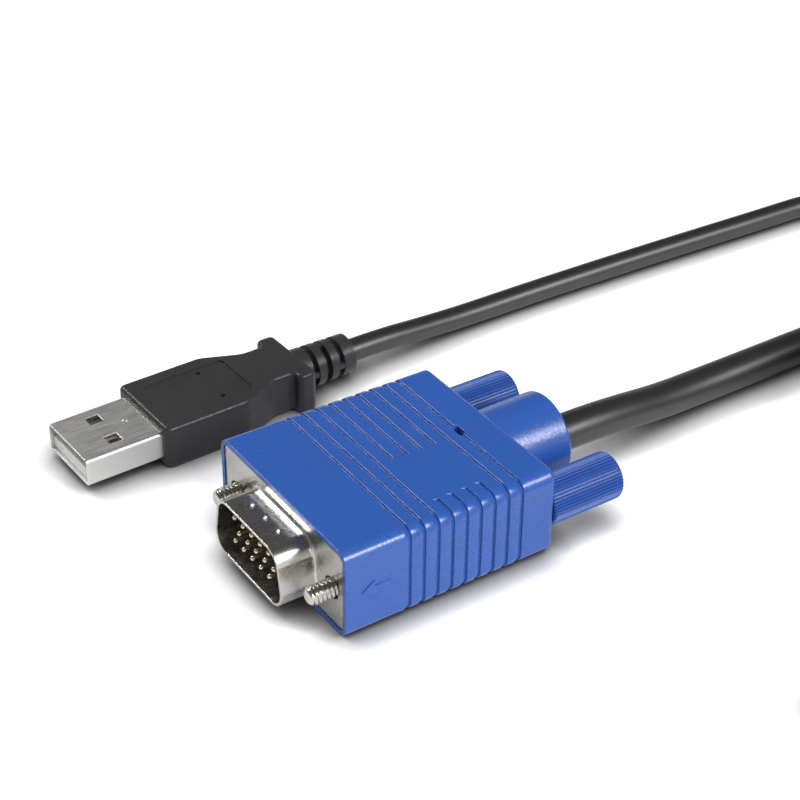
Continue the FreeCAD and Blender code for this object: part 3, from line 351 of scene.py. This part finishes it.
def about_axis(tree, given):
    """A point's place about a screw's axis: along it, across it, above it, and the distance from it."""
    spot = node(tree, "ShaderNodeSeparateXYZ")
    tree.links.new(node(tree, "GeometryNodeInputPosition").outputs[0], spot.inputs[0])
    across = maths(tree, "SUBTRACT", spot.outputs["X"], given.outputs["Axis X"])
    above = maths(tree, "SUBTRACT", spot.outputs["Z"], given.outputs["Axis Z"])
    squares = maths(tree, "ADD", maths(tree, "MULTIPLY", across, across),
                    maths(tree, "MULTIPLY", above, above))
    return spot.outputs["Y"], across, above, maths(tree, "SQRT", squares)


def ramp(tree, value, start, end):
    """A clamped ramp from 0 at the start to 1 at the end."""
    made = node(tree, "ShaderNodeMapRange")
    for socket, name in ((value, "Value"), (start, "From Min"), (end, "From Max")):
        tree.links.new(socket, made.inputs[name])
    return made.outputs["Result"]


def cut_to_axis(tree, given, result, cut, across, above, reach):
    """Move each point towards the axis by its cut, and end the tree."""
    share = maths(tree, "DIVIDE", maths(tree, "MULTIPLY", cut, -1.0),
                  maths(tree, "MAXIMUM", reach, NEAR_AXIS))
    inward = node(tree, "ShaderNodeCombineXYZ")
    tree.links.new(maths(tree, "MULTIPLY", share, across), inward.inputs["X"])
    tree.links.new(maths(tree, "MULTIPLY", share, above), inward.inputs["Z"])
    move = node(tree, "GeometryNodeSetPosition")
    tree.links.new(given.outputs["Geometry"], move.inputs["Geometry"])
    tree.links.new(inward.outputs[0], move.inputs["Offset"])
    end_tree(tree, given, result, move.outputs["Geometry"])


thread_tree, thread_in, thread_out = geometry_tree(
    "screw_thread", ("Axis X", "Axis Z", "Start", "End", "Pitch", "Depth", "Run Out"))
along, across, above, reach = about_axis(thread_tree, thread_in)
turn = maths(thread_tree, "DIVIDE", maths(thread_tree, "ARCTAN2", above, across), 2 * math.pi)
pitches = maths(thread_tree, "DIVIDE", along, thread_in.outputs["Pitch"])
phase = maths(thread_tree, "FRACT", maths(thread_tree, "ADD", pitches, turn))
from_root = maths(thread_tree, "ABSOLUTE", maths(thread_tree, "SUBTRACT", phase, 0.5))
groove = maths(thread_tree, "SUBTRACT", 1.0, maths(thread_tree, "MULTIPLY", from_root, 2.0))
groove = maths(thread_tree, "MULTIPLY", groove, THREAD_STEEPNESS)
groove = maths(thread_tree, "SMOOTH_MIN", groove, 1.0, THREAD_ROOT_ROUND)
run_out = thread_in.outputs["Run Out"]
thread_start, thread_stop = thread_in.outputs["Start"], thread_in.outputs["End"]
cut = maths(thread_tree, "MULTIPLY", groove, thread_in.outputs["Depth"])
cut = maths(thread_tree, "MULTIPLY", cut, ramp(
    thread_tree, along, thread_start, maths(thread_tree, "ADD", thread_start, run_out)))
cut = maths(thread_tree, "MULTIPLY", cut, ramp(
    thread_tree, along, thread_stop, maths(thread_tree, "SUBTRACT", thread_stop, run_out)))
cut_to_axis(thread_tree, thread_in, thread_out, cut, across, above, reach)

for hand, offset, back in SCREW_SIDES:
    name = f"{hand}_screw"
    profile = [(SCREW_TIP, 0.0)]
    profile += rounded_end(SCREW_TIP, THREAD_RADIUS, SCREW_TIP_ROUND, SCREW_TIP_STEPS, 1)
    for step in range(1, THREAD_RINGS + 1):
        reached = (THREAD_END - SCREW_TIP - SCREW_TIP_ROUND) * step / THREAD_RINGS
        profile.append((SCREW_TIP + SCREW_TIP_ROUND + reached, THREAD_RADIUS))
    profile += [(THREAD_END + THREAD_SHOULDER, SHANK_RADIUS), (SHANK_END, SHANK_RADIUS), (SHANK_END, 0.0)]
    place = (PLUG_X + offset, PLUG_Y + back, PLUG_Z)
    screw = put_in_scene(name, turned_mesh(name, profile, SCREW_SEGMENTS, place))
    grown(screw, thread_tree, {
        "Axis X": (PLUG_X + offset) * MM, "Axis Z": PLUG_Z * MM, "Pitch": THREAD_PITCH * MM,
        "Start": (PLUG_Y + back + SCREW_TIP + THREAD_LEAD_IN) * MM,
        "End": (PLUG_Y + back + THREAD_END) * MM,
        "Run Out": THREAD_RUN_OUT * MM, "Depth": THREAD_DEPTH * MM, "Finish": screw_nickel})
    smooth(screw, SCREW_SMOOTH_ANGLE)
    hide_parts(f"{hand}_jackscrew")
    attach(screw, f"thumbscrew_{hand}")

# Thumb knobs: blue mouldings on the backs of the jackscrews, with fine straight ribs for the fingers and
# a rounded end.
KNOB_START, KNOB_LENGTH, KNOB_RADIUS = HOOD_BACK + 0.35, 12.1, 3.55
KNOB_BORE, KNOB_EDGE, KNOB_EDGE_STEPS = 9.0, 0.5, 8
KNOB_LIP, KNOB_LIP_MIDDLE = 0.25, 0.08
KNOB_RIBS, RIB_DEPTH, RIB_RUN_OUT = 42, 0.4, 0.35
RIB_FOOT, RIB_FULL = 0.85, 0.97
RIB_STEEPNESS = 1.25
SEGMENTS_A_RIB, KNOB_RINGS = 8, 12
KNOB_SMOOTH_ANGLE = 50
knob_blue = finish("knob_blue", (0.024, 0.10, 0.41), 0.42, tint=0.03, tint_scale=90, grain=4000,
                   grain_height=0.012, rough_spread=0.05, specular=0.6)

knob_tree, knob_in, knob_out = geometry_tree(
    "knob_ribs", ("Axis X", "Axis Z", "Back", "Radius", "Ribs", "Depth", "Run Out"))
along, across, above, reach = about_axis(knob_tree, knob_in)
bearing = maths(knob_tree, "ARCTAN2", above, across)
wave = maths(knob_tree, "COSINE", maths(knob_tree, "MULTIPLY", bearing, knob_in.outputs["Ribs"]))
valley = maths(knob_tree, "MULTIPLY_ADD", wave, -RIB_STEEPNESS, 1.0)
valley = maths(knob_tree, "MAXIMUM", valley, 0.0)
valley = maths(knob_tree, "MINIMUM", valley, 1.0)
knob_radius, knob_back = knob_in.outputs["Radius"], knob_in.outputs["Back"]
cut = maths(knob_tree, "MULTIPLY", valley, knob_in.outputs["Depth"])
cut = maths(knob_tree, "MULTIPLY", cut, ramp(
    knob_tree, reach, maths(knob_tree, "MULTIPLY", knob_radius, RIB_FOOT),
    maths(knob_tree, "MULTIPLY", knob_radius, RIB_FULL)))
cut = maths(knob_tree, "MULTIPLY", cut, ramp(
    knob_tree, along, knob_back, maths(knob_tree, "SUBTRACT", knob_back, knob_in.outputs["Run Out"])))
cut_to_axis(knob_tree, knob_in, knob_out, cut, across, above, reach)

for hand, offset, back in SCREW_SIDES:
    name = f"{hand}_knob"
    bore_end = KNOB_START + KNOB_BORE
    profile = [(bore_end, 0.0), (bore_end, SHANK_RADIUS), (KNOB_START, SHANK_RADIUS)]
    profile += [(KNOB_START, KNOB_RADIUS - KNOB_LIP),
                (KNOB_START + KNOB_LIP_MIDDLE, KNOB_RADIUS - KNOB_LIP_MIDDLE),
                (KNOB_START + KNOB_LIP, KNOB_RADIUS)]
    for step in range(1, KNOB_RINGS):
        reached = (KNOB_LENGTH - KNOB_LIP - KNOB_EDGE) * step / KNOB_RINGS
        profile.append((KNOB_START + KNOB_LIP + reached, KNOB_RADIUS))
    end = KNOB_START + KNOB_LENGTH
    profile += rounded_end(end, KNOB_RADIUS, KNOB_EDGE, KNOB_EDGE_STEPS, -1)[::-1]
    profile.append((end, 0.0))
    place = (PLUG_X + offset, PLUG_Y + back, PLUG_Z)
    knob = put_in_scene(name, turned_mesh(name, profile, KNOB_RIBS * SEGMENTS_A_RIB, place))
    grown(knob, knob_tree, {
        "Axis X": (PLUG_X + offset) * MM, "Axis Z": PLUG_Z * MM, "Radius": KNOB_RADIUS * MM,
        "Back": (PLUG_Y + back + end) * MM, "Ribs": float(KNOB_RIBS), "Depth": RIB_DEPTH * MM,
        "Run Out": RIB_RUN_OUT * MM, "Finish": knob_blue})
    smooth(knob, KNOB_SMOOTH_ANGLE)
    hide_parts(f"{hand}_thumb_knob")
    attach(knob, f"thumbscrew_{hand}")

# USB plug: a folded and satin nickel-plated steel shell round a white moulded tongue with four flat
# gold-flashed contacts, held together by a first moulding behind them.
satin_nickel = finish("satin_nickel", (0.78, 0.77, 0.75), 0.48, metallic=1.0, tint=0.05, tint_scale=300,
                      rough_spread=0.06, grain=2500, grain_height=0.002, stretch=(1, 0.12, 1))
white_tongue = finish("white_tongue", (0.80, 0.80, 0.78), 0.42, tint=0.02, grain=5000)
dressed("usb_shell", "usb_shell_sheet", 0.07, satin_nickel)
dressed("usb_tongue", "usb_tongue_moulding", 0.08, white_tongue)
dressed("usb_contacts", "usb_contact_strips", 0.05, gold_flash)
dressed("usb_inner_mould", "usb_inner_block", 0, inner_block)

# USB grip: one black moulding over the shell, with a bare recessed panel on top, a waist, a flared wing
# and a slotted boot where the cord leaves.
grip_black = finish("grip_black", (0.034, 0.034, 0.035), 0.36, tint=0.08, tint_scale=200, grain=3000,
                    grain_height=0.04, rough_spread=0.07, specular=0.35)
dressed("usb_overmould", "usb_grip", 0.03, grip_black)

# Cords: black PVC jackets with a satin skin, one smooth line each from its plug to the far plug. The
# length out of view is wound in two layers, inwards below and outwards on top, with the thinner cord's
# coil on the thicker one's.
VIDEO_DIAMETER, USB_DIAMETER = 5.6, 3.8
VIDEO_METRES, USB_METRES = 1.14, 1.17
COIL_CENTRE = (49.65, 104.0)
POINTS_A_TURN = 16
SPLINE_INSET = 0.75 + 0.25 * math.cos(2 * math.pi / POINTS_A_TURN)
CORD_STEPS = 6
jacket_black = finish("jacket_black", (0.014, 0.014, 0.0145), 0.4, tint=0.08, tint_scale=150, grain=5000,
                      grain_height=0.006, rough_spread=0.05, specular=1.0)


def wound(outer, pitch, layer_turns, rise_turns, low, start):
    """Points of a clockwise coil that spirals in from a bearing, steps up a layer and spirals out. They
    lie a little outside the turns, because the cord's spline runs inside its points."""
    points = []
    total = round((2 * layer_turns + rise_turns) * POINTS_A_TURN)
    for step in range(1, total):
        turns = step / POINTS_A_TURN
        into = min(turns, layer_turns)
        out = max(0.0, turns - layer_turns - rise_turns)
        raised = min(1.0, max(0.0, (turns - layer_turns) / rise_turns))
        radius = (outer - pitch * (into - out)) / SPLINE_INSET
        bearing = math.radians(start) - 2 * math.pi * turns
        points.append((COIL_CENTRE[0] + radius * math.cos(bearing),
                       COIL_CENTRE[1] + radius * math.sin(bearing), low + pitch * raised))
    return points


def cord_line(name, points, diameter):
    line = bpy.data.curves.new(name, "CURVE")
    line.dimensions = "3D"
    line.bevel_depth = diameter / 2 * MM
    line.bevel_resolution = CORD_STEPS
    line.resolution_u = CORD_STEPS
    line.use_fill_caps = True
    spline = line.splines.new("NURBS")
    spline.points.add(len(points) - 1)
    for point, place in zip(spline.points, points):
        point.co = (place[0] * MM, place[1] * MM, place[2] * MM, 1.0)
    spline.order_u = 3
    spline.use_endpoint_u = True
    line.materials.append(jacket_black)
    return put_in_scene(name, line)


VIDEO_START = [(14.6, 28.245, 5.8), (14.6, 34.145, 5.8), (14.2, 42.2, 5.05), (13.3, 51.2, 3.4),
               (12.7, 60.6, 2.8), (12.7, 70.6, 2.8), (12.65, 79.0, 2.8), (12.65, 92.0, 2.8)]
VIDEO_END = [(86.65, 92.0, 6.4), (86.65, 79.0, 3.0), (86.65, 73.5, 2.8), (88.0, 67.0, 4.0),
             (89.7, 60.5, 5.8), (89.7, 55.0, 5.8)]
USB_START = [(-24.327, 18.385, 3.5), (-24.54, 24.48, 3.5), (-25.0, 32.6, 2.7), (-25.5, 42.1, 1.95),
             (-25.6, 54.1, 1.9), (-25.35, 68.1, 1.9), (-24.95, 83.1, 1.9), (-24.35, 98.1, 1.9),
             (-23.95, 109.1, 1.9), (-23.7, 119.0, 1.9), (-18.5, 128.6, 2.6), (-7.0, 131.65, 6.4),
             (6.0, 131.65, 11.6), (16.0, 131.65, 13.9), (29.65, 131.65, 13.9), (40.0, 131.65, 13.9)]
USB_END = [(77.3, 95.0, 16.6), (77.3, 84.0, 14.2), (77.3, 78.5, 13.9), (77.2, 72.4, 12.4),
           (77.0, 66.6, 8.8), (76.7, 60.5, 5.8), (76.7, 55.0, 5.8)]
video_coil = wound(outer=37.0, pitch=VIDEO_DIAMETER, layer_turns=2.5, rise_turns=0.5, low=2.8, start=180)
usb_coil = wound(outer=27.65, pitch=USB_DIAMETER, layer_turns=3.5, rise_turns=0.25, low=13.9, start=90)
video_lead = cord_line("video_lead", VIDEO_START + video_coil + VIDEO_END, VIDEO_DIAMETER)
usb_lead = cord_line("usb_lead", USB_START + usb_coil + USB_END, USB_DIAMETER)
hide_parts("vga_cord", "vga_coil", "vga_tail")
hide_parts("usb_cord", "usb_coil", "usb_tail")

# Coil ties: short black straps of soft plastic, one round each coil, pinched shut so that its turns stay
# together.
video_tie = dressed("vga_coil_tie", "video_coil_tie", 0.25, grip_black)
usb_tie = dressed("usb_coil_tie", "usb_coil_strap", 0.25, grip_black)

# Far plug: the black moulded console plug that both cords run into, with its own steel skirt and gold
# contacts. It lies out of the picture.
FAR_FACE = (83.2, 31.0, 5.8)
far_hood = dressed("console_plug_hood", "far_hood", 0.15, grip_black)
far_shell = dressed("console_plug_shell", "far_shell", 0.1, bright_nickel)
far_insulator = dressed("console_plug_insulator", "far_insulator", 0, black_insulator)
far_contacts = contact_field("far_contacts", FAR_FACE, "console_plug_contacts")
bpy.data.objects.remove(pin_master)

for cord, exit_point, length, diameter, pieces in (
        (video_lead, VIDEO_START[0], VIDEO_METRES, VIDEO_DIAMETER,
         [video_tie, far_hood, far_shell, far_insulator, far_contacts]),
        (usb_lead, USB_START[0], USB_METRES, USB_DIAMETER, [usb_tie])):
    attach(cord, "root")

# Floor: a sheet of matt white paper under the plugs, seen as white where nothing shades it. Close to a
# piece its colour and glow carry a painted shade from an occlusion test, seen by camera rays only.
FLOOR_REACH = 4.0
PAPER_ROUGHNESS, PAPER_WHITE, PAPER_GLOW = 0.9, 0.9, 0.45
SHADE_REACH, SHADE_DEPTH, SHADE_SAMPLES = 5, 2.3, 12
floor_white = bpy.data.materials.new("floor_white")
floor_white.use_nodes = True
tree = floor_white.node_tree
paper = tree.nodes["Principled BSDF"]
paper.inputs["Roughness"].default_value = PAPER_ROUGHNESS
glow = node(tree, "ShaderNodeEmission")
# Painted shade: the nearer a piece, the darker the floor's colour and glow, for camera rays only.
contact = node(tree, "ShaderNodeAmbientOcclusion", samples=SHADE_SAMPLES)
contact.inputs["Distance"].default_value = SHADE_REACH * MM
painted_shade_level = maths(tree, "POWER", contact.outputs["AO"], SHADE_DEPTH)
rays = node(tree, "ShaderNodeLightPath")
painted_shade_amount = maths(tree, "MULTIPLY", rays.outputs["Is Camera Ray"], maths(tree, "SUBTRACT", 1.0, painted_shade_level))
shade = maths(tree, "SUBTRACT", 1.0, painted_shade_amount)
lift = maths(tree, "MULTIPLY", rays.outputs["Is Camera Ray"], PAPER_GLOW)
both = node(tree, "ShaderNodeAddShader")
tree.links.new(maths(tree, "MULTIPLY", shade, PAPER_WHITE), paper.inputs["Base Color"])
tree.links.new(shade, glow.inputs["Color"])
tree.links.new(lift, glow.inputs["Strength"])
tree.links.new(paper.outputs["BSDF"], both.inputs[0])
tree.links.new(glow.outputs["Emission"], both.inputs[1])
tree.links.new(both.outputs["Shader"], tree.nodes["Material Output"].inputs["Surface"])
ground = bmesh.new()
bmesh.ops.create_grid(ground, x_segments=1, y_segments=1, size=FLOOR_REACH)
floor_mesh = bpy.data.meshes.new("floor")
ground.to_mesh(floor_mesh)
ground.free()
floor_mesh.materials.append(floor_white)
floor = put_in_scene("floor", floor_mesh)

# Room: white where it is seen, dim as a light, and in the metal a white horizon under a dark ceiling.
# Four soft boxes light the plugs, and the one overhead leaves no glare.
ROOM_LIGHT = 0.3
HORIZON_TOP, CEILING_START = 0.02, 0.22
HORIZON_SHINE, CEILING_SHINE = 1.0, 0.08
world = bpy.data.worlds.new("studio")
world.use_nodes = True
bpy.context.scene.world = world
tree = world.node_tree
sky = tree.nodes["Background"]
sky.inputs["Color"].default_value = (1, 1, 1, 1)
rays = node(tree, "ShaderNodeLightPath")
direction = node(tree, "ShaderNodeTexCoord")
height = node(tree, "ShaderNodeSeparateXYZ")
tree.links.new(direction.outputs["Generated"], height.inputs[0])
ceiling = node(tree, "ShaderNodeMapRange")
ceiling.inputs["From Min"].default_value = HORIZON_TOP
ceiling.inputs["From Max"].default_value = CEILING_START
ceiling.inputs["To Min"].default_value = HORIZON_SHINE
ceiling.inputs["To Max"].default_value = CEILING_SHINE
tree.links.new(height.outputs["Z"], ceiling.inputs["Value"])
mirrored = maths(tree, "MULTIPLY", rays.outputs["Is Glossy Ray"], ceiling.outputs["Result"])
seen = maths(tree, "MAXIMUM", rays.outputs["Is Camera Ray"], rays.outputs["Is Transmission Ray"])
shown = maths(tree, "MAXIMUM", seen, mirrored)
open_room = maths(tree, "SUBTRACT", 1.0, maths(tree, "MAXIMUM", seen, rays.outputs["Is Glossy Ray"]))
tree.links.new(maths(tree, "MULTIPLY_ADD", open_room, ROOM_LIGHT, shown), sky.inputs["Strength"])


def soft_box(name, place, size, power):
    """A square or oblong lamp that faces the origin, in metres and watts."""
    lamp = bpy.data.lights.new(name, "AREA")
    lamp.shape = "RECTANGLE"
    lamp.size, lamp.size_y = size
    lamp.energy = power
    lit = put_in_scene(name, lamp)
    lit.location = place
    lit.rotation_euler = (-Vector(place)).to_track_quat("-Z", "Y").to_euler()
    return lit


soft_box("key", place=(1.05, 0.63, 0.865), size=(0.5, 0.5), power=13.0)
soft_box("main", place=(-1.10, -0.40, 1.09), size=(0.35, 0.35), power=9.0)
soft_box("fill", place=(1.38, 0.05, 0.5), size=(0.9, 0.5), power=4.8)
overhead = soft_box("overhead", place=(0.1, 0.05, 1.6), size=(1.0, 1.0), power=6.0)
overhead.visible_glossy = False

# Camera: a long lens above and to the right of the plugs, at the photograph's viewing angle. Its place
# follows from the known sizes of the two plugs.
SENSOR = 36.0
FOCAL_PIXELS, PICTURE_PIXELS = 1896.18, 800
CAMERA_PLACE = (0.191462, -0.116521, 0.164319)
AZIMUTH, ELEVATION, ROLL = 56.01, 33.72, 0.65
camera_data = bpy.data.cameras.new("camera")
camera_data.sensor_width = SENSOR
camera_data.lens = FOCAL_PIXELS / PICTURE_PIXELS * SENSOR
camera_data.clip_start = 0.01
camera = put_in_scene("camera", camera_data)
camera.matrix_world = (Matrix.Translation(CAMERA_PLACE)
                       @ Matrix.Rotation(math.radians(AZIMUTH), 4, "Z")
                       @ Matrix.Rotation(math.pi / 2 - math.radians(ELEVATION), 4, "X")
                       @ Matrix.Rotation(math.radians(ROLL), 4, "Z"))
bpy.context.scene.camera = camera
bpy.context.scene.view_settings.view_transform = "Standard"
